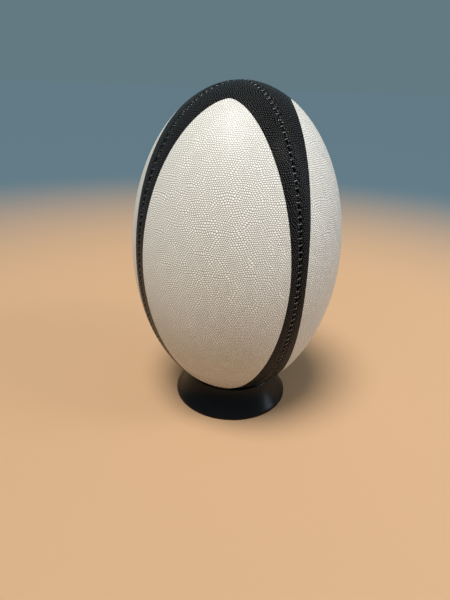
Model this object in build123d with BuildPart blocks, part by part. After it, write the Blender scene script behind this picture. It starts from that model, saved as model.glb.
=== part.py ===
"""A four-panel rugby ball, sewn and inflated, standing on end in a ring-shaped display stand.

Millimetres, +Z up. The origin is the centre of the stand's foot, on the surface it stands on, and the ball's
long axis is +Z. The four seams lie in the two vertical planes at 45 degrees to X and Y, so one panel faces
each of -Y (front), +X (right), +Y (back, with the valve) and -X (left).
"""

import os
from math import cos, hypot, radians, sin, sqrt

from build123d import *

# The ball: a full size match ball
BALL_LENGTH = 288.0
BALL_DIAMETER = 191.0
BALL_CENTRE_HEIGHT = 156.0
LONG_RADIUS = BALL_LENGTH / 2
SHORT_RADIUS = BALL_DIAMETER / 2

# The cover's layers and the bladder, as depths below the ball's outer surface
SKIN_DEPTH = 1.15
OUTER_PLY_DEPTH = 1.75
INNER_PLY_DEPTH = 2.35
HEM_DEPTH = 3.15
BLADDER_DEPTH = 3.25
BLADDER_INNER_DEPTH = 4.0
BOND_GAP = 0.02

# The seams
SEAM_GAP = 0.3
HEM_WIDTH = 8.0
SEAM_ROUNDING = 0.8
TIP_OPENING_RADIUS = 2.5
STITCH_DIAMETER = 0.8
STITCH_LENGTH = 2.4
STITCH_DEPTH = 0.5
STITCH_PITCH = 5.3
STITCH_END_MARGIN = 8.0

# The valve, in the middle of the back panel and pointing along +Y
VALVE_HOLE_RADIUS = 4.2
VALVE_STEM_RADIUS = 4.0
VALVE_HEAD_DEPTH = 0.4
VALVE_LENGTH = 19.0
VALVE_FLANGE_RADIUS = 10.0
VALVE_FLANGE_THICKNESS = 1.4
CORE_RADIUS = 2.5
CORE_RECESS = 0.8
CORE_LENGTH = 15.0
NEEDLE_PORT_RADIUS = 1.1
NEEDLE_PORT_DEPTH = 11.0
COVER_PATCH_RADIUS = 17.0
COVER_PATCH_THICKNESS = 0.75
BLADDER_PATCH_RADIUS = 15.0
BLADDER_PATCH_THICKNESS = 1.0

# The stand: a flared ring with a rounded rim that the ball rests in
FOOT_RADIUS = 57.2
FOOT_BAND = 2.0
FOOT_ROUNDING = 0.5
STAND_WALL = 2.6
RIM_RADIUS = 1.5
SEAT_RADIUS = 43.0
SEAT_GAP = 0.3
FLARE_HOLLOW = 1.2

# Each panel's name and the direction it faces, in degrees about +Z from +X
PANEL_FACING = {"front": -90.0, "right": 0.0, "back": 90.0, "left": 180.0}
# Each seam's name and its direction
SEAM_FACING = {"front_right": -45.0, "back_right": 45.0, "back_left": 135.0, "front_left": -135.0}

VALVE_PLANE = Plane(origin=(0, 0, BALL_CENTRE_HEIGHT), x_dir=(1, 0, 0), z_dir=(0, 1, 0))


def upright_plane(facing):
    """The vertical plane through the ball's axis whose local X points along facing, with local Y up."""
    along = (cos(radians(facing)), sin(radians(facing)), 0)
    across = (sin(radians(facing)), -cos(radians(facing)), 0)
    return Plane(origin=(0, 0, 0), x_dir=along, z_dir=across)


def draw_shell_section(outer_depth, inner_depth):
    """Draws, in the current sketch, half the section of the egg-shaped shell between two depths."""
    with Locations((0, BALL_CENTRE_HEIGHT)):
        Ellipse(SHORT_RADIUS - outer_depth, LONG_RADIUS - outer_depth)
        Ellipse(SHORT_RADIUS - inner_depth, LONG_RADIUS - inner_depth, mode=Mode.SUBTRACT)
        Rectangle(BALL_DIAMETER, 2 * BALL_LENGTH, align=(Align.MAX, Align.CENTER), mode=Mode.SUBTRACT)


def gore(facing, outer_depth, inner_depth, seam_clearance):
    """A quarter of the shell between two depths, kept seam_clearance away from both seam planes."""
    first_seam = radians(facing - 45)
    second_seam = radians(facing + 45)
    first_inward = Vector(-sin(first_seam), cos(first_seam), 0)
    second_inward = Vector(sin(second_seam), -cos(second_seam), 0)
    with BuildPart() as quarter:
        with BuildSketch(upright_plane(facing - 45)):
            draw_shell_section(outer_depth, inner_depth)
        revolve(axis=Axis.Z, revolution_arc=90)
        for inward in (first_inward, second_inward):
            split(bisect_by=Plane(origin=inward * seam_clearance, z_dir=inward), keep=Keep.TOP)
    return quarter.part


def shell_disc(radius, outer_depth, inner_depth):
    """A round piece of the shell between two depths, centred on the valve."""
    with BuildPart() as disc:
        with BuildSketch(upright_plane(0)):
            draw_shell_section(outer_depth, inner_depth)
        revolve(axis=Axis.Z, revolution_arc=180)
        with Locations(VALVE_PLANE):
            Cylinder(radius, BALL_DIAMETER, align=(Align.CENTER, Align.CENTER, Align.MIN), mode=Mode.INTERSECT)
    return disc.part


def cut_valve_hole(radius):
    """Cuts, in the current part, a hole for the valve through everything on the back of the ball."""
    with Locations(VALVE_PLANE):
        Cylinder(radius, BALL_DIAMETER, align=(Align.CENTER, Align.CENTER, Align.MIN), mode=Mode.SUBTRACT)


def save(piece, name):
    """Labels a finished piece and writes it to its STEP file."""
    piece.part.label = name
    export_step(piece.part, f"parts/{name}.step")
    print(f"{name}: {len(piece.part.solids())} solids, {piece.part.volume / 1000:.2f} cm3")


os.makedirs("parts", exist_ok=True)

# Four cover panels: each one's grip skin, with its edges turned under along both seams and its pointed tips
# cut blunt where the four of them meet, and the two cloth plies behind it
for name, facing in PANEL_FACING.items():
    whole = gore(facing, 0, HEM_DEPTH, SEAM_GAP / 2)
    ply_pocket = gore(facing, SKIN_DEPTH, INNER_PLY_DEPTH, SEAM_GAP / 2 + SKIN_DEPTH)
    inside_hem = gore(facing, INNER_PLY_DEPTH, HEM_DEPTH + 1, HEM_WIDTH)
    with BuildPart() as skin:
        add(whole)
        Cylinder(TIP_OPENING_RADIUS, 3 * BALL_LENGTH, mode=Mode.SUBTRACT)
        fillet(skin.edges().sort_by(Edge.length)[-2:], SEAM_ROUNDING)
        add(ply_pocket, mode=Mode.SUBTRACT)
        add(inside_hem, mode=Mode.SUBTRACT)
        if name == "back":
            cut_valve_hole(VALVE_HOLE_RADIUS)
    save(skin, f"{name}_panel")

    ply_clearance = SEAM_GAP / 2 + SKIN_DEPTH + BOND_GAP
    outer_cloth = gore(facing, SKIN_DEPTH + BOND_GAP, OUTER_PLY_DEPTH, ply_clearance)
    with BuildPart() as outer_ply:
        add(outer_cloth)
        if name == "back":
            cut_valve_hole(VALVE_HOLE_RADIUS)
    save(outer_ply, f"{name}_outer_ply")

    inner_cloth = gore(facing, OUTER_PLY_DEPTH + BOND_GAP, INNER_PLY_DEPTH - BOND_GAP, ply_clearance)
    with BuildPart() as inner_ply:
        add(inner_cloth)
        if name == "back":
            cut_valve_hole(VALVE_HOLE_RADIUS)
    save(inner_ply, f"{name}_inner_ply")

# Four seam threads: the short bars of waxed thread that cross each seam and hold its two edges together
stitch_long = LONG_RADIUS - STITCH_DEPTH
stitch_short = SHORT_RADIUS - STITCH_DEPTH
for name, facing in SEAM_FACING.items():
    seam_plane = upright_plane(facing)
    with BuildLine(seam_plane) as seam_line:
        EllipticalCenterArc((0, BALL_CENTRE_HEIGHT), stitch_short, stitch_long, start_angle=-90, arc_size=180)
    seam = seam_line.edge()
    run = seam.length - 2 * STITCH_END_MARGIN
    stitch_count = round(run / STITCH_PITCH) + 1
    spacing = run / (stitch_count - 1)
    along = [(STITCH_END_MARGIN + i * spacing) / seam.length for i in range(stitch_count)]
    with BuildPart() as seam_thread:
        with Locations(*[Plane(origin=seam @ place, z_dir=seam_plane.z_dir) for place in along]):
            Cylinder(STITCH_DIAMETER / 2, STITCH_LENGTH)
    save(seam_thread, f"{name}_seam_thread")

# The bladder: a thin closed rubber bag with one round hole, which the valve is bonded into
with BuildPart() as bladder:
    with BuildSketch(upright_plane(0)):
        draw_shell_section(BLADDER_DEPTH, BLADDER_INNER_DEPTH)
    revolve(axis=Axis.Z, revolution_arc=180)
    cut_valve_hole(VALVE_HOLE_RADIUS)
    with BuildSketch(upright_plane(180)):
        draw_shell_section(BLADDER_DEPTH, BLADDER_INNER_DEPTH)
    revolve(axis=Axis.Z, revolution_arc=180)
save(bladder, "bladder")

# The patch that stiffens the cover around the valve hole, glued inside the back panel
cover_patch_outer = INNER_PLY_DEPTH + BOND_GAP
cover_disc = shell_disc(COVER_PATCH_RADIUS, cover_patch_outer, cover_patch_outer + COVER_PATCH_THICKNESS)
with BuildPart() as cover_patch:
    add(cover_disc)
    cut_valve_hole(VALVE_HOLE_RADIUS)
save(cover_patch, "valve_cover_patch")

# The patch that bonds the valve's flange to the bladder, on the inside of its wall
bladder_patch_outer = BLADDER_INNER_DEPTH + BOND_GAP
bladder_patch_inner = bladder_patch_outer + BLADDER_PATCH_THICKNESS
bladder_disc = shell_disc(BLADDER_PATCH_RADIUS, bladder_patch_outer, bladder_patch_inner)
with BuildPart() as bladder_patch:
    add(bladder_disc)
    cut_valve_hole(VALVE_HOLE_RADIUS)
save(bladder_patch, "valve_bladder_patch")

# The valve: a rubber stem with a curved flange behind the bladder patch, hollow for its self-sealing core
head_height = SHORT_RADIUS - VALVE_HEAD_DEPTH
core_height = head_height - CORE_RECESS
flange_outer = bladder_patch_inner + BOND_GAP
flange = shell_disc(VALVE_FLANGE_RADIUS, flange_outer, flange_outer + VALVE_FLANGE_THICKNESS)
with BuildPart() as valve_body:
    add(flange)
    with Locations(VALVE_PLANE.offset(head_height)):
        Cylinder(VALVE_STEM_RADIUS, VALVE_LENGTH, align=(Align.CENTER, Align.CENTER, Align.MAX))
        pocket_depth = CORE_RECESS + CORE_LENGTH + BOND_GAP
        Cylinder(
            CORE_RADIUS + BOND_GAP,
            pocket_depth,
            align=(Align.CENTER, Align.CENTER, Align.MAX),
            mode=Mode.SUBTRACT,
        )
        Cylinder(
            NEEDLE_PORT_RADIUS,
            VALVE_LENGTH,
            align=(Align.CENTER, Align.CENTER, Align.MAX),
            mode=Mode.SUBTRACT,
        )
    head_edges = valve_body.edges().filter_by(GeomType.CIRCLE).sort_by(Axis.Y)
    fillet(head_edges[-1], VALVE_HEAD_DEPTH)
save(valve_body, "valve_body")

# The valve's core: a soft plug that closes behind the needle, with the needle's port in its outer end
with BuildPart() as valve_core:
    with Locations(VALVE_PLANE.offset(core_height)):
        Cylinder(CORE_RADIUS, CORE_LENGTH, align=(Align.CENTER, Align.CENTER, Align.MAX))
        Cylinder(
            NEEDLE_PORT_RADIUS,
            NEEDLE_PORT_DEPTH,
            align=(Align.CENTER, Align.CENTER, Align.MAX),
            mode=Mode.SUBTRACT,
        )
save(valve_core, "valve_core")

# The stand: its rounded rim touches the ball at the seat radius, one small gap out along the ball's normal
seat_cosine = SEAT_RADIUS / SHORT_RADIUS
seat_sine = sqrt(1 - seat_cosine**2)
normal_out = seat_cosine / SHORT_RADIUS
normal_down = seat_sine / LONG_RADIUS
normal_length = hypot(normal_out, normal_down)
rim_centre_radius = SEAT_RADIUS + normal_out / normal_length * (RIM_RADIUS + SEAT_GAP)
seat_height = BALL_CENTRE_HEIGHT - LONG_RADIUS * seat_sine
rim_centre_height = seat_height - normal_down / normal_length * (RIM_RADIUS + SEAT_GAP)
rim_outer = (rim_centre_radius + RIM_RADIUS, rim_centre_height)
rim_top = (rim_centre_radius, rim_centre_height + RIM_RADIUS)
rim_inner = (rim_centre_radius - RIM_RADIUS, rim_centre_height)
foot_outer_top = (FOOT_RADIUS, FOOT_BAND)
foot_inner_top = (FOOT_RADIUS - STAND_WALL, FOOT_BAND)


def flare_middle(lower, upper):
    """The middle point of one side of the flare, drawn in from the straight line so that the side is hollow."""
    across = upper[0] - lower[0]
    up = upper[1] - lower[1]
    length = hypot(across, up)
    middle_x = (lower[0] + upper[0]) / 2 - up / length * FLARE_HOLLOW
    middle_y = (lower[1] + upper[1]) / 2 + across / length * FLARE_HOLLOW
    return (middle_x, middle_y)


with BuildPart() as display_stand:
    with BuildSketch(Plane.XZ) as stand_section:
        with BuildLine():
            foot = Line((FOOT_RADIUS - STAND_WALL, 0), (FOOT_RADIUS, 0))
            Line(foot @ 1, foot_outer_top)
            ThreePointArc(foot_outer_top, flare_middle(foot_outer_top, rim_outer), rim_outer)
            ThreePointArc(rim_outer, rim_top, rim_inner)
            ThreePointArc(rim_inner, flare_middle(foot_inner_top, rim_inner), foot_inner_top)
            Line(foot_inner_top, foot @ 0)
        make_face()
        fillet(stand_section.vertices().group_by(Axis.Y)[0], FOOT_ROUNDING)
    revolve(axis=Axis.Z)
save(display_stand, "display_stand")

print(f"rim centre: radius {rim_centre_radius:.2f}, height {rim_centre_height:.2f}")
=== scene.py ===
# %% [markdown]
# # A sewn rugby ball on its display stand
# The ball and its stand were first drawn as solid parts, each at its real size, and those parts are the frame
# that this lesson dresses. We load them, remember how big they are, and then look at each piece as its maker
# would: a printed and pebbled rubber cover in four panels, waxed thread, a valve, and a polished ring stand.

# %% Load the frame
import bisect
import math
import random

import bpy
from mathutils import Matrix, Vector


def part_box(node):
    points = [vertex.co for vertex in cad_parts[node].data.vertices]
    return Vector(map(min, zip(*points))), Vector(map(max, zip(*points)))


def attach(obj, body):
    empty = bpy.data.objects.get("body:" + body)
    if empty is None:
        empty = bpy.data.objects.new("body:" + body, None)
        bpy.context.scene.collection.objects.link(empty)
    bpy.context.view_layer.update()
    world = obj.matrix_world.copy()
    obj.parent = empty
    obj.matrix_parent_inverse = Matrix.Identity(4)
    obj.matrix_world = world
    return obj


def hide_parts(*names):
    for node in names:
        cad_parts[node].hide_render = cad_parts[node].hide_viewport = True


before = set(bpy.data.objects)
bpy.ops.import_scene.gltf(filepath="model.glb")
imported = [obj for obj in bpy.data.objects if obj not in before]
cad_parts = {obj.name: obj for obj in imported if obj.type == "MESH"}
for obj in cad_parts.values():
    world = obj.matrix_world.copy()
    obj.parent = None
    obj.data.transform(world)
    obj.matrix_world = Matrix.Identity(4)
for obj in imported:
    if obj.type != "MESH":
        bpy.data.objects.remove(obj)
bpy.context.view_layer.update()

# %% [markdown]
# Everything is measured from the solid parts. A ball of this kind is an ellipsoid: one long radius upright and
# one short radius around. The front panel's box gives the top and the bottom, and the right panel's box reaches
# just as far out as the ball does.

# %% Measure the ball and the stand
MM = 0.001
skin_low, skin_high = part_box("front_panel")
LONG_RADIUS = (skin_high.z - skin_low.z) / 2
SHORT_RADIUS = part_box("right_panel")[1].x
BALL_CENTRE = Vector((0, 0, (skin_high.z + skin_low.z) / 2))
stand_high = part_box("display_stand")[1]
FOOT_RADIUS, STAND_HEIGHT = stand_high.x, stand_high.z
print(f"ball {2 * LONG_RADIUS / MM:.1f} by {2 * SHORT_RADIUS / MM:.1f} mm, stand foot {FOOT_RADIUS / MM:.1f} mm")


# %% [markdown]
# ## Working habits
# Blender's operators act on whatever is selected, and the loaded parts come in selected, so the first habit is
# to clear the selection. The second is to finish a piece by hand: apply its modifiers, merge its doubled points,
# turn its faces outwards and shade it.

# %% Selecting and finishing
MERGE_DISTANCE = 0.01 * MM


def select_only(piece):
    bpy.ops.object.select_all(action="DESELECT")
    piece.select_set(True)
    bpy.context.view_layer.objects.active = piece


def apply_modifier(piece, kind, **settings):
    modifier = piece.modifiers.new(kind.lower(), kind)
    for setting, value in settings.items():
        setattr(modifier, setting, value)
    select_only(piece)
    bpy.ops.object.modifier_apply(modifier=modifier.name)


def close_and_turn_outwards(piece):
    """Merges the points that lie on each other, and points every face outwards."""
    select_only(piece)
    bpy.ops.object.mode_set(mode="EDIT")
    bpy.ops.mesh.select_all(action="SELECT")
    bpy.ops.mesh.remove_doubles(threshold=MERGE_DISTANCE)
    bpy.ops.mesh.select_all(action="SELECT")
    bpy.ops.mesh.normals_make_consistent(inside=False)
    bpy.ops.object.mode_set(mode="OBJECT")


def shade(piece, sharp_angle):
    select_only(piece)
    bpy.ops.object.shade_smooth_by_angle(angle=math.radians(sharp_angle))


bpy.ops.object.select_all(action="DESELECT")
print("nothing is selected:", not bpy.context.selected_objects)


# %% [markdown]
# ## Materials
# A material is a small network of nodes. Three helpers keep the cells short: one starts a material and returns
# its shader, one adds a node and sets it up, and one links a row of nodes. Plain values go straight on the
# shader's own sockets.

# %% Material helpers
def new_material(name):
    material = bpy.data.materials.new(name)
    material.use_nodes = True
    shader = material.node_tree.nodes["Principled BSDF"]
    return material, material.node_tree, shader


def add_node(tree, kind, settings=None, **inputs):
    node = tree.nodes.new(kind)
    for setting, value in (settings or {}).items():
        setattr(node, setting, value)
    for socket, value in inputs.items():
        name = socket.replace("_", " ")
        fitting = [entry for entry in node.inputs if entry.name == name and entry.enabled]
        fitting[0].default_value = value
    return node


def link_chain(tree, *nodes):
    """Links each node's first output to the next node's first input."""
    for source, target in zip(nodes, nodes[1:]):
        tree.links.new(source.outputs[0], target.inputs[0])


print("materials so far:", len(bpy.data.materials))


# %% [markdown]
# ## The pebbled grip
# The cover's rubber is moulded with a close field of small round pebbles in rows under two millimetres apart.
# Three sets of ripples add up to just such a field: one set runs level and two cross it at sixty degrees, and a
# dome stands wherever three crests meet. A Voronoi texture would be quicker, but its cells come in all sizes,
# and these do not. Noise bends the ripples, so that the rows wander as they do on a real mould. The ripples run
# on a UV map in real metres.

# %% Ripples that cross into pebbles
PEBBLE_ROW = 1.6 * MM
RIPPLE_BEARINGS = (30, 90, 150)
ROW_WANDER = 3.4 * MM
WANDER_SCALE = 75.0


def crossing_ripples(tree):
    place = add_node(tree, "ShaderNodeUVMap")
    wander = add_node(tree, "ShaderNodeTexNoise", Scale=WANDER_SCALE, Detail=2.0)
    bend = add_node(tree, "ShaderNodeMixRGB", {"blend_type": "LINEAR_LIGHT"}, Fac=ROW_WANDER)
    link_chain(tree, place, wander)
    tree.links.new(place.outputs["UV"], bend.inputs["Color1"])
    tree.links.new(wander.outputs["Color"], bend.inputs["Color2"])
    total = None
    for bearing in RIPPLE_BEARINGS:
        across = add_node(tree, "ShaderNodeVectorMath", {"operation": "DOT_PRODUCT"})
        turn = math.radians(bearing)
        heading = Vector((math.cos(turn), math.sin(turn), 0))
        across.inputs[1].default_value = heading * 2 * math.pi / PEBBLE_ROW
        ripple = add_node(tree, "ShaderNodeMath", {"operation": "COSINE"})
        link_chain(tree, bend, across)
        tree.links.new(across.outputs["Value"], ripple.inputs[0])
        if total is not None:
            both = add_node(tree, "ShaderNodeMath", {"operation": "ADD"})
            tree.links.new(total.outputs[0], both.inputs[0])
            tree.links.new(ripple.outputs[0], both.inputs[1])
            ripple = both
        total = ripple
    return total


pebble_width = PEBBLE_ROW / math.cos(math.radians(RIPPLE_BEARINGS[0]))
print(f"pebbles {pebble_width / MM:.2f} mm apart along a row, rows {PEBBLE_ROW / MM:.2f} mm apart")


# %% [markdown]
# The ripples do two jobs. Smoothed into domes they drive a bump, and they also choose the colour, with light
# and shade painted in: on white rubber the valleys are painted darker as shade, in a wide blend up to the
# white tops. On black rubber only the very tops are painted grey as glints, which makes it sparkle. The colour
# fields are printed on one sheet, so both rubbers share the grip. An attribute named pebbling fades the bump
# out where the mould is smooth.

# %% Pebbled rubber
PEBBLING = "pebbling"
PEBBLE_HEIGHT = 0.45 * MM
DOME_REACH = (-1.3, 1.6)


def pebbled_rubber(name, valley_colour, top_colour, top_reach, roughness, gloss):
    material, tree, shader = new_material(name)
    pebbling = add_node(tree, "ShaderNodeAttribute", {"attribute_name": PEBBLING})
    dome = add_node(tree, "ShaderNodeMapRange", {"interpolation_type": "SMOOTHSTEP"})
    dome.inputs["From Min"].default_value, dome.inputs["From Max"].default_value = DOME_REACH
    # Painted light: this range paints shade into the white valleys and grey glints on the black pebbles' tops.
    painted_shade_and_glint = add_node(tree, "ShaderNodeMapRange")
    painted_shade_and_glint.inputs["From Min"].default_value, painted_shade_and_glint.inputs["From Max"].default_value = top_reach
    height = add_node(tree, "ShaderNodeMath", {"operation": "MULTIPLY"})
    bump = add_node(tree, "ShaderNodeBump", Strength=1.0, Distance=PEBBLE_HEIGHT)
    tint = add_node(tree, "ShaderNodeMix", {"data_type": "RGBA"}, A=valley_colour, B=top_colour)
    ripples = crossing_ripples(tree)
    link_chain(tree, ripples, dome, height)
    link_chain(tree, ripples, painted_shade_and_glint, tint)
    tree.links.new(pebbling.outputs["Fac"], height.inputs[1])
    tree.links.new(height.outputs["Value"], bump.inputs["Height"])
    tree.links.new(tint.outputs["Result"], shader.inputs["Base Color"])
    tree.links.new(bump.outputs["Normal"], shader.inputs["Normal"])
    shader.inputs["Roughness"].default_value = roughness
    shader.inputs["Specular IOR Level"].default_value = gloss
    return material


# The white valley colour is painted shade, and the black top colour is a painted glint.
WHITE_SHADED_VALLEY, WHITE_TOP = (0.50, 0.45, 0.38, 1), (0.97, 0.96, 0.92, 1)
BLACK_VALLEY, BLACK_GLINTING_TOP = (0.0004, 0.0004, 0.0005, 1), (0.13, 0.12, 0.12, 1)
white_rubber = pebbled_rubber("white_pebbled_rubber", WHITE_SHADED_VALLEY, WHITE_TOP, (-1.3, 1.2), 0.38, 0.5)
black_rubber = pebbled_rubber("black_pebbled_rubber", BLACK_VALLEY, BLACK_GLINTING_TOP, (1.5, 3.0), 0.30, 0.1)
print("cover rubbers:", white_rubber.name, black_rubber.name)

# %% [markdown]
# ## The cover panels
# Each panel is a curved gore: pointed at both ends, a quarter of the ball wide in the middle. Its white field is
# a rounded lens, and the black border fills the space between the lens and the two seams. We want the line
# between white and black to be a real edge in the mesh, so the mesh is laid out around it like growth rings:
# a spine up the middle of the panel, rings that widen to the lens, more rings out to the seam, and the last few
# rolling over into the groove, where the stitches pinch them.

# %% Sizes of a panel
LENS_HALF_LENGTH = 130.6 * MM
LENS_HALF_WIDTH = 67.0 * MM
LENS_TIP_POWER = 1.9
LENS_SIDE_POWER = 0.63
SPINE_HALF_LENGTH = 116.0 * MM
ROLL_RADIUS = 1.9 * MM
SEAM_HALF_GAP = 0.15 * MM
TIP_ROUNDING = 0.6 * MM
print(f"white field {2 * LENS_HALF_LENGTH / MM:.1f} mm tall and {2 * LENS_HALF_WIDTH / MM:.1f} mm around")


# %% [markdown]
# Small functions place the rings. The lens's half width comes from its height; a point near the ball is pushed
# straight out on to its surface; and the seam's outline runs up one side of the panel, round the tip and down
# the other, a roll's width short of the seam itself. A turn is an angle: 0 at the panel's middle on one side, a
# quarter turn at its top, and so on round.

# %% Placing the rings
def surface_normal(point):
    slope = Vector((point.x / SHORT_RADIUS**2, point.y / SHORT_RADIUS**2, point.z / LONG_RADIUS**2))
    return slope.normalized()


def onto_ball(point):
    stretch = math.sqrt((point.x**2 + point.y**2) / SHORT_RADIUS**2 + point.z**2 / LONG_RADIUS**2)
    return point / stretch


def reach_at(height):
    """How far the ball's surface is from the upright axis."""
    return SHORT_RADIUS * math.sqrt(1 - (height / LONG_RADIUS) ** 2)


def spine(turn):
    height = SPINE_HALF_LENGTH * math.sin(turn)
    return Vector((reach_at(height), 0, height))


def lens_edge(turn):
    height = LENS_HALF_LENGTH * math.sin(turn)
    half_width = LENS_HALF_WIDTH * max(0, 1 - abs(math.sin(turn)) ** LENS_TIP_POWER) ** LENS_SIDE_POWER
    angle = math.copysign(half_width / reach_at(height), math.cos(turn))
    return Vector((reach_at(height) * math.cos(angle), reach_at(height) * math.sin(angle), height))


def seam_shoulder(turn):
    """Where the roll begins, and the level direction from there to the seam."""
    across = SEAM_HALF_GAP + ROLL_RADIUS
    corner = across + TIP_ROUNDING
    reach = SHORT_RADIUS * abs(math.cos(turn))
    corner_reach = math.hypot(corner, across)
    if reach > corner_reach:
        along = math.sqrt(reach**2 - across**2)
        lean = 0.0
    else:
        lean = math.radians(45) * (1 - reach / corner_reach)
        along = corner - TIP_ROUNDING * math.sin(lean)
        across = corner - TIP_ROUNDING * math.cos(lean)
    side = math.copysign(1, math.cos(turn))
    half = math.sqrt(0.5)
    height = LONG_RADIUS * math.sqrt(max(0, 1 - (along**2 + across**2) / SHORT_RADIUS**2))
    end = math.copysign(1, math.sin(turn))
    place = Vector(((along + across) * half, side * (along - across) * half, end * height))
    towards = Vector((-math.sin(lean) - math.cos(lean), side * (math.cos(lean) - math.sin(lean)), 0)) * half
    return place, towards


white_share = math.atan2(lens_edge(0).y, lens_edge(0).x) / math.radians(45)
print(f"the white field takes {white_share:.0%} of the panel's width at the middle")

# %% [markdown]
# Stitches are evenly spaced along the seam, not evenly spaced in angle, so we measure the seam's curve once in
# small steps. The same measure tells a panel's edge where it is pinched and each stitch where it lies.

# %% Measure along the seam
STITCH_PITCH = 5.3 * MM
SEAM_STEPS = 4000
seam_lengths = [0.0]
for step in range(SEAM_STEPS):
    middle = (step + 0.5) / SEAM_STEPS * math.pi / 2
    seam_speed = math.hypot(SHORT_RADIUS * math.sin(middle), LONG_RADIUS * math.cos(middle))
    seam_lengths.append(seam_lengths[-1] + seam_speed * math.pi / 2 / SEAM_STEPS)


def length_to(turn):
    """How far along the seam from the ball's middle a turn lies."""
    share = abs(math.asin(math.sin(turn))) / (math.pi / 2) * SEAM_STEPS
    step = min(int(share), SEAM_STEPS - 1)
    return seam_lengths[step] + (seam_lengths[step + 1] - seam_lengths[step]) * (share - step)


def turn_at(length):
    """The turn that lies so far along the seam, up if the length is positive and down if not."""
    step = min(bisect.bisect(seam_lengths, abs(length)), SEAM_STEPS)
    return math.copysign(step / SEAM_STEPS * math.pi / 2, length)


print(f"half a seam is {seam_lengths[-1] / MM:.1f} mm, {seam_lengths[-1] / STITCH_PITCH:.1f} stitches")

# %% [markdown]
# A ring is a row of points, one on each spoke that runs from the panel's spine out to its seam. Every spoke
# knows its place on the spine, on the lens's edge and on the shoulder, so a ring's point is somewhere between
# two of them, or part of the way round the roll. Each stitch pulls the rubber down beside it, and the pull dies
# away within a couple of millimetres.

# %% Points on the rings
STEPS_AROUND = 720
LENS_RINGS = 44
BORDER_RINGS = 12
ROLL_RINGS = 7
LENS_END = LENS_RINGS
BORDER_END = LENS_END + BORDER_RINGS
ROLL_END = BORDER_END + ROLL_RINGS
RINGS = ROLL_END + 1
FLANGE_DEPTH = 3.2 * MM
PUCKER_DEPTH = 0.7 * MM
PUCKER_REACH = 1.6 * MM
PUCKER_FADE = 8 * MM


def pinch(turn):
    """1 at a stitch and 0 half way between two, fading out towards the panel's points."""
    fade = min(1, SHORT_RADIUS * abs(math.cos(turn)) / PUCKER_FADE)
    return fade * (0.5 + 0.5 * math.cos(2 * math.pi * length_to(turn) / STITCH_PITCH)) ** 2


def make_spoke(turn):
    return {
        "spine": spine(turn),
        "lens": lens_edge(turn),
        "shoulder": seam_shoulder(turn),
        "pinch": pinch(turn),
    }


def ring_point(ring, spoke):
    shoulder, towards = spoke["shoulder"]
    if ring <= LENS_END:
        share = math.sin(ring / LENS_END * math.pi / 2)
        return onto_ball(spoke["spine"].lerp(spoke["lens"], share))
    if ring <= BORDER_END:
        share = (ring - LENS_END) / BORDER_RINGS
        place = onto_ball(spoke["lens"].lerp(shoulder, share))
        from_seam = (place - shoulder).length
        dip = spoke["pinch"] * PUCKER_DEPTH * math.exp(-((from_seam / PUCKER_REACH) ** 2))
        return place - surface_normal(place) * dip
    down = -surface_normal(shoulder)
    lowest = ROLL_RADIUS
    angle = (ring - BORDER_END) / ROLL_RINGS * math.pi / 2
    if ring > ROLL_END:
        angle = math.pi / 2
        lowest = FLANGE_DEPTH
    sideways = towards * ROLL_RADIUS * math.sin(angle)
    sink = lowest * (1 - math.cos(angle)) + spoke["pinch"] * PUCKER_DEPTH
    return shoulder + sideways + down * sink


print("rings:", RINGS, "spokes:", STEPS_AROUND)


# %% [markdown]
# The pebbles follow the rubber, not the space around it, so the panel gets a UV map. Ours is in real metres:
# across is the distance from the panel's middle line, and up is the distance along that line. A pebble is then
# the same size all over the ball.

# %% A map in metres
def lay_out_pattern(panel):
    pattern = panel.data.uv_layers.active.data
    for loop in panel.data.loops:
        place = panel.data.vertices[loop.vertex_index].co
        across = math.atan2(place.y, place.x) * math.hypot(place.x, place.y)
        height = max(-1, min(1, place.z / LONG_RADIUS))
        pattern[loop.index].uv = (across, math.copysign(length_to(math.asin(height)), height))


print(f"the map reaches {length_to(math.pi / 2) / MM:.1f} mm up and down from the middle")

# %% [markdown]
# Now the panel itself. We add a flat grid with the right number of rows, paint the lens white and everything
# outside it black, lay each row down as one ring, and merge the doubled spine. The pebbling attribute is full on
# the panel's face and fades out at the hem, which is smooth where it rolls over.

# %% Make one panel
SMOOTH_HEM = 0.8 * MM


def make_panel():
    bpy.ops.mesh.primitive_grid_add(x_subdivisions=STEPS_AROUND, y_subdivisions=RINGS, size=1)
    panel = bpy.context.active_object
    panel.data.materials.append(white_rubber)
    panel.data.materials.append(black_rubber)
    lens_rim = LENS_END / RINGS - 0.5
    for face in panel.data.polygons:
        face.material_index = 0 if face.center.y < lens_rim else 1
    pebbling = panel.data.attributes.new(PEBBLING, "FLOAT", "POINT")
    turns = [(column + 0.5) / STEPS_AROUND * 2 * math.pi for column in range(STEPS_AROUND + 1)]
    spokes = [make_spoke(turn) for turn in turns]
    for vertex in panel.data.vertices:
        spoke = spokes[round((vertex.co.x + 0.5) * STEPS_AROUND)]
        ring = round((vertex.co.y + 0.5) * RINGS)
        vertex.co = ring_point(ring, spoke)
        from_seam = (vertex.co - spoke["shoulder"][0]).length
        pebbling.data[vertex.index].value = min(1, from_seam / SMOOTH_HEM) if ring < BORDER_END else 0
    lay_out_pattern(panel)
    close_and_turn_outwards(panel)
    return panel


master_panel = make_panel()
print("one panel:", len(master_panel.data.vertices), "vertices")

# %% [markdown]
# The four panels are one shape turned a quarter each time. A copy gets its own mesh, and the turn goes into the
# mesh, so that the object itself stays at the origin, unturned, like the solid part that it replaces. Solidify
# gives the rubber its thickness, on the inside so that the outer face keeps its size. On the back panel the
# pebbles stop short of the valve, in a smooth ring.

# %% Four panels
PANEL_FACING = {"front": -90, "right": 0, "back": 90, "left": 180}
SKIN_THICKNESS = 1.1 * MM
VALVE_SURROUND_RADIUS = 8 * MM


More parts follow.
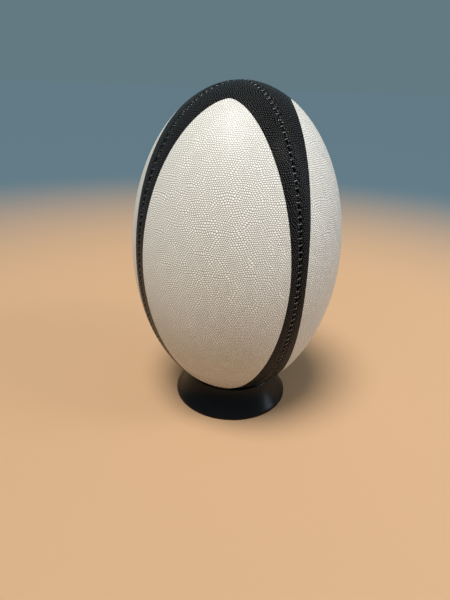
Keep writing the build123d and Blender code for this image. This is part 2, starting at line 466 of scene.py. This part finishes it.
def smooth_valve_surround(panel):
    for vertex, grip in zip(panel.data.vertices, panel.data.attributes[PEBBLING].data):
        from_valve = math.hypot(vertex.co.x, vertex.co.z - BALL_CENTRE.z)
        grip.value *= max(0, min(1, (from_valve - VALVE_SURROUND_RADIUS) / SMOOTH_HEM))


cover = {}
for name, facing in PANEL_FACING.items():
    panel = master_panel.copy()
    panel.data = master_panel.data.copy()
    panel.name = f"{name}_cover_panel"
    bpy.context.collection.objects.link(panel)
    panel.data.transform(Matrix.Translation(BALL_CENTRE) @ Matrix.Rotation(math.radians(facing), 4, "Z"))
    if name == "back":
        smooth_valve_surround(panel)
    apply_modifier(panel, "SOLIDIFY", thickness=SKIN_THICKNESS, offset=-1)
    cover[name] = panel
bpy.data.objects.remove(master_panel)
print("panels:", [panel.name for panel in cover.values()])

# %% [markdown]
# ## The valve hole
# One panel has a round hole for the valve in its middle. A cutter makes a clean circle where a hand-picked set
# of faces would leave a ragged one.

# %% Cut the valve hole
VALVE_HOLE_RADIUS = 4.2 * MM
CUTTER_DEPTH = 20 * MM
valve_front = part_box("valve_core")[1].y
bpy.ops.mesh.primitive_cylinder_add(
    vertices=64,
    radius=VALVE_HOLE_RADIUS,
    depth=CUTTER_DEPTH,
    location=(0, valve_front, BALL_CENTRE.z),
    rotation=(math.pi / 2, 0, 0),
)
cutter = bpy.context.active_object
apply_modifier(cover["back"], "BOOLEAN", object=cutter, operation="DIFFERENCE", solver="EXACT")
bpy.data.objects.remove(cutter)
print("back panel after cutting:", len(cover["back"].data.vertices), "vertices")

# %% [markdown]
# A panel is finished when it shades smoothly except at its sharp folds, rides on the ball, and takes the place
# of its solid part.

# %% Finish the panels
for name, panel in cover.items():
    shade(panel, 60)
    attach(panel, "ball")
    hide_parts(f"{name}_panel")
print("faces in each panel:", [len(panel.data.polygons) for panel in cover.values()])

# %% [markdown]
# ## Waxed thread
# The thread is black, twisted and drawn through wax. The twist is a fine wave on the bump, and the wax is a coat
# over it, smoother than the thread, so that each stitch catches a small bright glint.

# %% Thread material
thread_black, thread_tree, thread_shader = new_material("waxed_black_thread")
thread_shader.inputs["Base Color"].default_value = (0.012, 0.012, 0.014, 1)
thread_shader.inputs["Roughness"].default_value = 0.3
thread_shader.inputs["Coat Weight"].default_value = 1.0
thread_shader.inputs["Coat Roughness"].default_value = 0.14
thread_place = add_node(thread_tree, "ShaderNodeTexCoord")
thread_twist = add_node(thread_tree, "ShaderNodeTexWave", Scale=900.0, Distortion=2.0)
thread_bump = add_node(thread_tree, "ShaderNodeBump", Strength=0.5, Distance=0.05 * MM)
thread_tree.links.new(thread_place.outputs["Object"], thread_twist.inputs["Vector"])
thread_tree.links.new(thread_twist.outputs["Fac"], thread_bump.inputs["Height"])
thread_tree.links.new(thread_bump.outputs["Normal"], thread_shader.inputs["Normal"])
print("thread finish:", thread_black.name)

# %% [markdown]
# A stitch comes up through one folded edge, crosses the groove and goes down through the other. What shows is a
# low arch. We stand a ring of thread upright, bisect it at the middle, keep and close the upper half, and press
# it a little flatter. It is copied hundreds of times, so it has only a few dozen faces along its curve.

# %% Make one stitch
THREAD_RADIUS = 0.6 * MM
STITCH_REACH = 1.7 * MM
STITCH_FLATNESS = 0.55
bpy.ops.mesh.primitive_torus_add(
    major_radius=STITCH_REACH,
    minor_radius=THREAD_RADIUS,
    major_segments=20,
    minor_segments=8,
    rotation=(math.pi / 2, 0, 0),
)
stitch = bpy.context.active_object
bpy.ops.object.transform_apply(location=True, rotation=True, scale=True)
bpy.ops.object.mode_set(mode="EDIT")
bpy.ops.mesh.select_all(action="SELECT")
bpy.ops.mesh.bisect(plane_co=(0, 0, 0), plane_no=(0, 0, 1), clear_inner=True, use_fill=True)
bpy.ops.object.mode_set(mode="OBJECT")
stitch.data.transform(Matrix.Diagonal((1, 1, STITCH_FLATNESS, 1)))
stitch.data.materials.append(thread_black)
print("one stitch:", len(stitch.data.polygons), "faces")

# %% [markdown]
# Each stitch is a copy with its own mesh, laid across the seam and sunk until its ends are in the rubber. Hand
# sewing is never quite even, so the skew and the depth vary a little from one stitch to the next, by a seeded
# draw that comes out the same each time. At the ball's two points, where the four panels are drawn together, a
# longer stitch closes the opening.

# %% Placing a stitch
STITCH_SUNK = 1.0 * MM
STITCH_SKEW = 14
SKEW_SPREAD = 7
DEPTH_SPREAD = 0.08 * MM
CLOSING_LENGTH = 1.5
sewing = random.Random(8)


def set_stitch(placement):
    copy = stitch.copy()
    copy.data = stitch.data.copy()
    copy.data.transform(placement)
    bpy.context.collection.objects.link(copy)
    return copy


def seam_stitch(facing, turn):
    place = Vector((SHORT_RADIUS * math.cos(turn), 0, LONG_RADIUS * math.sin(turn)))
    up = surface_normal(place)
    across = Vector((0, 1, 0))
    lie = Matrix((across, up.cross(across), up)).transposed().to_4x4()
    askew = STITCH_SKEW + sewing.uniform(-SKEW_SPREAD, SKEW_SPREAD)
    skew = Matrix.Rotation(math.radians(askew), 4, "Z")
    depth = STITCH_SUNK + sewing.uniform(-DEPTH_SPREAD, DEPTH_SPREAD)
    sink = Matrix.Translation(place - up * depth)
    swing = Matrix.Rotation(math.radians(facing), 4, "Z")
    return set_stitch(Matrix.Translation(BALL_CENTRE) @ swing @ sink @ lie @ skew)


def closing_stitch(facing, end):
    """A longer stitch over the ball's top point, end 1, or its bottom point, end -1."""
    longer = Matrix.Diagonal((CLOSING_LENGTH, CLOSING_LENGTH, 1, 1))
    over = Matrix.Identity(4) if end > 0 else Matrix.Rotation(math.pi, 4, "X")
    swing = Matrix.Rotation(math.radians(facing + 45), 4, "Z")
    height = BALL_CENTRE.z + end * (LONG_RADIUS - STITCH_SUNK)
    return set_stitch(Matrix.Translation((0, 0, height)) @ swing @ over @ longer)


print(f"a stitch reaches {2 * (STITCH_REACH + THREAD_RADIUS) / MM:.1f} mm across the seam")

# %% [markdown]
# The four rows are sewn one after another, from the bottom of the ball to the top, and each row is joined into
# one piece of thread. Two of the rows also carry the closing stitches, one for each way across the points.

# %% Sew the seams
SEAM_FACING = {"front_right": -45, "back_right": 45, "back_left": 135, "front_left": -135}
CLOSING_SEAMS = ("front_right", "front_left")
LAST_STITCH = 5 * MM
stitches_each_way = int((seam_lengths[-1] - LAST_STITCH) / STITCH_PITCH)
for name, facing in SEAM_FACING.items():
    row = []
    for number in range(-stitches_each_way, stitches_each_way + 1):
        row.append(seam_stitch(facing, turn_at(number * STITCH_PITCH)))
    if name in CLOSING_SEAMS:
        row += [closing_stitch(facing, end) for end in (1, -1)]
    bpy.ops.object.select_all(action="DESELECT")
    for copy in row:
        copy.select_set(True)
    bpy.context.view_layer.objects.active = row[0]
    bpy.ops.object.join()
    seam = bpy.context.active_object
    seam.name = f"{name}_stitching"
    shade(seam, 80)
    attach(seam, "ball")
    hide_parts(f"{name}_seam_thread")
    print(seam.name, len(row), "stitches")
bpy.data.objects.remove(stitch)

# %% [markdown]
# ## The stand
# The stand is a single plastic moulding, polished in the mould: very dark, very smooth, with the faintest
# unevenness that makes its reflections waver and a little dust that dulls them in patches. The dust is a noise
# that nudges the roughness, which is how a real shine varies.

# %% Polished plastic
stand_black, stand_tree, stand_shader = new_material("polished_black_plastic")
stand_shader.inputs["Base Color"].default_value = (0.003, 0.003, 0.0035, 1)
stand_shader.inputs["Specular IOR Level"].default_value = 0.2
stand_place = add_node(stand_tree, "ShaderNodeTexCoord")
stand_waver = add_node(stand_tree, "ShaderNodeTexNoise", Scale=60.0, Detail=2.0)
stand_bump = add_node(stand_tree, "ShaderNodeBump", Strength=0.15, Distance=0.1 * MM)
stand_dust = add_node(stand_tree, "ShaderNodeMapRange", To_Min=0.22, To_Max=0.34)
stand_tree.links.new(stand_place.outputs["Object"], stand_waver.inputs["Vector"])
stand_tree.links.new(stand_waver.outputs["Fac"], stand_bump.inputs["Height"])
stand_tree.links.new(stand_waver.outputs["Fac"], stand_dust.inputs["Value"])
stand_tree.links.new(stand_dust.outputs["Result"], stand_shader.inputs["Roughness"])
stand_tree.links.new(stand_bump.outputs["Normal"], stand_shader.inputs["Normal"])
print("stand finish:", stand_black.name)

# %% [markdown]
# A stand like this is a shape of revolution: a mould maker turns it on a lathe, so we draw half of its section.
# The outline of the wall goes round the foot, up the hollow flare, over the rim and back down the inside. The
# rim is a small round that the ball almost touches, so its centre is found from the ball: out from the seat,
# square to the ball's surface, by the gap and the rim's own radius.

# %% Outline of the stand's wall
STAND_WALL = 2.6 * MM
FOOT_BAND = 2.0 * MM
FOOT_ROUNDING = 0.5 * MM
RIM_RADIUS = 1.5 * MM
SEAT_RADIUS = 43.0 * MM
SEAT_GAP = 0.3 * MM
FLARE_HOLLOW = 1.2 * MM
seat = Vector((SEAT_RADIUS, 0, -LONG_RADIUS * math.sqrt(1 - (SEAT_RADIUS / SHORT_RADIUS) ** 2)))
rim_centre_radius = SEAT_RADIUS + surface_normal(seat).x * (SEAT_GAP + RIM_RADIUS)
RIM_CENTRE = Vector((rim_centre_radius, STAND_HEIGHT - RIM_RADIUS))


def hollow_side(lower, upper, steps):
    """Points along one side of the flare, drawn in from the straight line between its ends."""
    along = upper - lower
    inward = Vector((-along.y, along.x)).normalized() * FLARE_HOLLOW
    shares = [step / steps for step in range(1, steps)]
    return [lower + along * share + inward * 4 * share * (1 - share) for share in shares]


def rounded(centre, radius, first, last, steps):
    angles = [math.radians(first + (last - first) * step / steps) for step in range(steps + 1)]
    return [centre + Vector((math.cos(angle), math.sin(angle))) * radius for angle in angles]


foot_inside = FOOT_RADIUS - STAND_WALL
wall = rounded(Vector((foot_inside + FOOT_ROUNDING, FOOT_ROUNDING)), FOOT_ROUNDING, 180, 270, 4)
wall += rounded(Vector((FOOT_RADIUS - FOOT_ROUNDING, FOOT_ROUNDING)), FOOT_ROUNDING, 270, 360, 4)
wall.append(Vector((FOOT_RADIUS, FOOT_BAND)))
wall += hollow_side(Vector((FOOT_RADIUS, FOOT_BAND)), RIM_CENTRE + Vector((RIM_RADIUS, 0)), 12)
wall += rounded(RIM_CENTRE, RIM_RADIUS, 0, 180, 12)
wall += reversed(hollow_side(Vector((foot_inside, FOOT_BAND)), RIM_CENTRE - Vector((RIM_RADIUS, 0)), 12))
wall.append(Vector((foot_inside, FOOT_BAND)))
print("points in the outline:", len(wall), "rim centre:", [round(value / MM, 2) for value in RIM_CENTRE])

# %% [markdown]
# To turn it, a small circle with one point for each point of the outline is added and pushed into the outline,
# and spin carries it once round the upright axis. The last ring lands on the first, so the two are merged.

# %% Spin the stand
SPIN_STEPS = 180
bpy.ops.mesh.primitive_circle_add(vertices=len(wall), radius=RIM_RADIUS)
stand = bpy.context.active_object
stand.name = "turned_display_stand"
for vertex, place in zip(stand.data.vertices, wall):
    vertex.co = (place.x, 0, place.y)
bpy.ops.object.mode_set(mode="EDIT")
bpy.ops.mesh.select_all(action="SELECT")
bpy.ops.mesh.spin(steps=SPIN_STEPS, angle=2 * math.pi, center=(0, 0, 0), axis=(0, 0, 1))
bpy.ops.object.mode_set(mode="OBJECT")
close_and_turn_outwards(stand)
shade(stand, 40)
stand.data.materials.append(stand_black)
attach(stand, "stand")
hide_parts("display_stand")
print("stand:", len(stand.data.polygons), "faces")

# %% [markdown]
# ## Inside parts
# The parts that the cover hides still get the finish that they would have on a bench: woven cotton and
# polyester cloth for the plies, thin dusty rubber for the bladder, and moulded rubber for the valve. Their solid
# parts already have the right shape, so only the material is changed.

# %% Dress a solid part
def dress(material, nodes):
    for node in nodes:
        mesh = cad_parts[node].data
        mesh.materials.clear()
        mesh.materials.append(material)


REPLACED_ENDINGS = ("_panel", "_thread", "_stand")
print("solid parts to dress:", [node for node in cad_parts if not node.endswith(REPLACED_ENDINGS)])

# %% [markdown]
# ### Woven cloth
# A plain weave is two sets of ridges at right angles. Two wave textures make them, one along the height and one
# around, and their product gives the dark pinholes between the threads.

# %% Cloth for the plies and the patch
WEAVE_SCALE = 700 / 3


def woven_cloth(name, colour, shadow):
    material, tree, shader = new_material(name)
    place = add_node(tree, "ShaderNodeTexCoord")
    warp = add_node(tree, "ShaderNodeTexWave", {"bands_direction": "Z"}, Scale=WEAVE_SCALE, Distortion=0.4)
    weft = add_node(tree, "ShaderNodeTexWave", {"bands_direction": "DIAGONAL"}, Scale=WEAVE_SCALE)
    weave = add_node(tree, "ShaderNodeMath", {"operation": "MULTIPLY"})
    tint = add_node(tree, "ShaderNodeMix", {"data_type": "RGBA"}, A=shadow, B=colour)
    bump = add_node(tree, "ShaderNodeBump", Strength=0.6, Distance=0.15 * MM)
    for threads, socket in ((warp, 0), (weft, 1)):
        tree.links.new(place.outputs["Object"], threads.inputs["Vector"])
        tree.links.new(threads.outputs["Fac"], weave.inputs[socket])
    tree.links.new(weave.outputs["Value"], tint.inputs["Factor"])
    tree.links.new(weave.outputs["Value"], bump.inputs["Height"])
    tree.links.new(tint.outputs["Result"], shader.inputs["Base Color"])
    tree.links.new(bump.outputs["Normal"], shader.inputs["Normal"])
    shader.inputs["Roughness"].default_value = 0.9
    shader.inputs["Sheen Weight"].default_value = 0.2
    return material


ply_cloth = woven_cloth("cotton_ply_cloth", (0.62, 0.58, 0.50, 1), (0.30, 0.27, 0.22, 1))
dress(ply_cloth, [f"{side}_{layer}_ply" for side in PANEL_FACING for layer in ("outer", "inner")])
dress(ply_cloth, ["valve_cover_patch"])
print("cloth:", ply_cloth.name)

# %% [markdown]
# ### Plain rubber
# The bladder, its patch and the valve are unpainted rubber: nearly even in colour, cloudy where the mould powder
# clings, with a fine tooth that takes the shine off. Each has its own name, colour, powder colour and roughness.

# %% Rubber for the bladder and the valve
RUBBER_FINISHES = {
    "bladder": ("black_bladder_rubber", (0.010, 0.010, 0.010, 1), (0.035, 0.034, 0.032, 1), 0.55),
    "valve_bladder_patch": ("patch_rubber", (0.020, 0.019, 0.018, 1), (0.045, 0.043, 0.040, 1), 0.6),
    "valve_body": ("black_valve_rubber", (0.006, 0.006, 0.006, 1), (0.014, 0.014, 0.014, 1), 0.42),
    "valve_core": ("valve_core_plug_rubber", (0.10, 0.09, 0.075, 1), (0.16, 0.145, 0.12, 1), 0.5),
}


def moulded_rubber(name, colour, powder, roughness):
    material, tree, shader = new_material(name)
    place = add_node(tree, "ShaderNodeTexCoord")
    cloud = add_node(tree, "ShaderNodeTexNoise", Scale=35.0, Detail=5.0)
    tooth = add_node(tree, "ShaderNodeTexNoise", Scale=1500.0, Detail=2.0)
    tint = add_node(tree, "ShaderNodeMix", {"data_type": "RGBA"}, A=colour, B=powder)
    bump = add_node(tree, "ShaderNodeBump", Strength=0.3, Distance=0.05 * MM)
    tree.links.new(place.outputs["Object"], cloud.inputs["Vector"])
    tree.links.new(place.outputs["Object"], tooth.inputs["Vector"])
    tree.links.new(cloud.outputs["Fac"], tint.inputs["Factor"])
    tree.links.new(tooth.outputs["Fac"], bump.inputs["Height"])
    tree.links.new(tint.outputs["Result"], shader.inputs["Base Color"])
    tree.links.new(bump.outputs["Normal"], shader.inputs["Normal"])
    shader.inputs["Roughness"].default_value = roughness
    return material


for node, finish in RUBBER_FINISHES.items():
    dress(moulded_rubber(*finish), [node])
print("rubber finishes:", [material.name for material in bpy.data.materials if "rubber" in material.name])

# %% [markdown]
# ## Setting: floor, light and camera
# A plain pale floor, wide enough to have no edge. It is warm close to the ball and cools with distance, so the
# eye finds no line where it ends. The distance is measured on the floor itself, from under the ball.

# %% Floor
FLOOR_SIZE = 60.0
FLOOR_NEAR, FLOOR_FAR = (0.455, 0.285, 0.165, 1), (0.087, 0.137, 0.168, 1)
FADE_START, FADE_END = 0.35, 1.3
bpy.ops.mesh.primitive_plane_add(size=FLOOR_SIZE, location=(0, 0, 0))
floor = bpy.context.active_object
floor.name = "floor"
floor_finish, floor_tree, floor_shader = new_material("pale_floor")
floor_shader.inputs["Roughness"].default_value = 0.7
floor_shader.inputs["Specular IOR Level"].default_value = 0.0
floor_place = add_node(floor_tree, "ShaderNodeTexCoord")
floor_distance = add_node(floor_tree, "ShaderNodeVectorMath", {"operation": "LENGTH"})
floor_fade = add_node(floor_tree, "ShaderNodeMapRange", {"interpolation_type": "SMOOTHSTEP"})
floor_fade.inputs["From Min"].default_value, floor_fade.inputs["From Max"].default_value = FADE_START, FADE_END
floor_tint = add_node(floor_tree, "ShaderNodeMix", {"data_type": "RGBA"}, A=FLOOR_NEAR, B=FLOOR_FAR)
floor_tree.links.new(floor_place.outputs["Object"], floor_distance.inputs[0])
floor_tree.links.new(floor_distance.outputs["Value"], floor_fade.inputs["Value"])
floor_tree.links.new(floor_fade.outputs["Result"], floor_tint.inputs["Factor"])
floor_tree.links.new(floor_tint.outputs["Result"], floor_shader.inputs["Base Color"])
floor.data.materials.append(floor_finish)
print(f"floor {FLOOR_SIZE:.0f} m wide, fading from {FADE_START} to {FADE_END} m")

# %% [markdown]
# The room's light comes from all around and is cool and weak, so that the shaded sides stay readable. Above the
# ball a broad, soft sun does most of the work: it lights the white fields from the top and lets them fall off
# towards the stand.

# %% Room and overhead light
world = bpy.data.worlds.new("soft_room")
bpy.context.scene.world = world
world.use_nodes = True
world.node_tree.nodes["Background"].inputs["Color"].default_value = (0.62, 0.97, 1.13, 1)
world.node_tree.nodes["Background"].inputs["Strength"].default_value = 0.2
bpy.context.scene.view_settings.view_transform = "Standard"
bpy.ops.object.light_add(type="SUN", location=(0.3, -0.6, 1.8))
overhead = bpy.context.active_object
overhead.name = "overhead_light"
overhead.data.energy = 4.2
overhead.data.angle = math.radians(25)
overhead.data.color = (1.0, 0.975, 0.93)
overhead.rotation_euler = Vector((0.10, 0.30, -1.0)).to_track_quat("-Z", "Y").to_euler()
print("lights:", world.name, overhead.name)


# %% [markdown]
# Two softboxes add what polished rubber and plastic need, something bright and shaped to reflect: a tall cool
# one like a window on the right, and a small warm one above it that puts the glints on the thread.

# %% Softboxes
def softbox(name, place, width, height, watts, colour):
    bpy.ops.object.light_add(type="AREA", location=place)
    lamp = bpy.context.active_object
    lamp.name = name
    lamp.data.shape = "RECTANGLE"
    lamp.data.size = width
    lamp.data.size_y = height
    lamp.data.energy = watts
    lamp.data.color = colour
    lamp.rotation_euler = (BALL_CENTRE - Vector(place)).to_track_quat("-Z", "Y").to_euler()
    return lamp


window = softbox("window_light", (1.19, 0.15, 0.62), 0.2, 1.2, 4.5, (0.70, 0.83, 1.0))
ceiling = softbox("ceiling_light", (0.80, -0.12, 1.0), 0.2, 0.2, 2.2, (1.0, 0.96, 0.91))
print("softboxes:", window.name, ceiling.name)

# %% [markdown]
# The camera stands in front of the ball and above it, looking down, a little round to the right of the front
# panel. It is close, so the ball's lower end looks smaller than it is.

# %% Camera
CAMERA_AZIMUTH = math.radians(13.45)
CAMERA_DISTANCE = 435.9 * MM
CAMERA_ELEVATION = math.radians(18.867)
CAMERA_PITCH = math.radians(25.264)
CAMERA_PAN = math.radians(1.222)
CAMERA_ROLL = math.radians(1.899)
CAMERA_LENS = 27.605
bpy.ops.object.camera_add()
camera = bpy.context.active_object
camera.data.lens = CAMERA_LENS
camera.data.sensor_width = 36
camera.data.clip_start = 0.01
level_reach = CAMERA_DISTANCE * math.cos(CAMERA_ELEVATION)
stand_off = Vector((0, -level_reach, CAMERA_DISTANCE * math.sin(CAMERA_ELEVATION)))
camera_place = BALL_CENTRE + Matrix.Rotation(CAMERA_AZIMUTH, 3, "Z") @ stand_off
look = Matrix.Rotation(CAMERA_AZIMUTH + CAMERA_PAN, 4, "Z") @ Matrix.Rotation(math.pi / 2 - CAMERA_PITCH, 4, "X")
camera.matrix_world = Matrix.Translation(camera_place) @ look @ Matrix.Rotation(CAMERA_ROLL, 4, "Z")
bpy.context.scene.camera = camera
print("camera at", [round(value, 3) for value in camera_place])
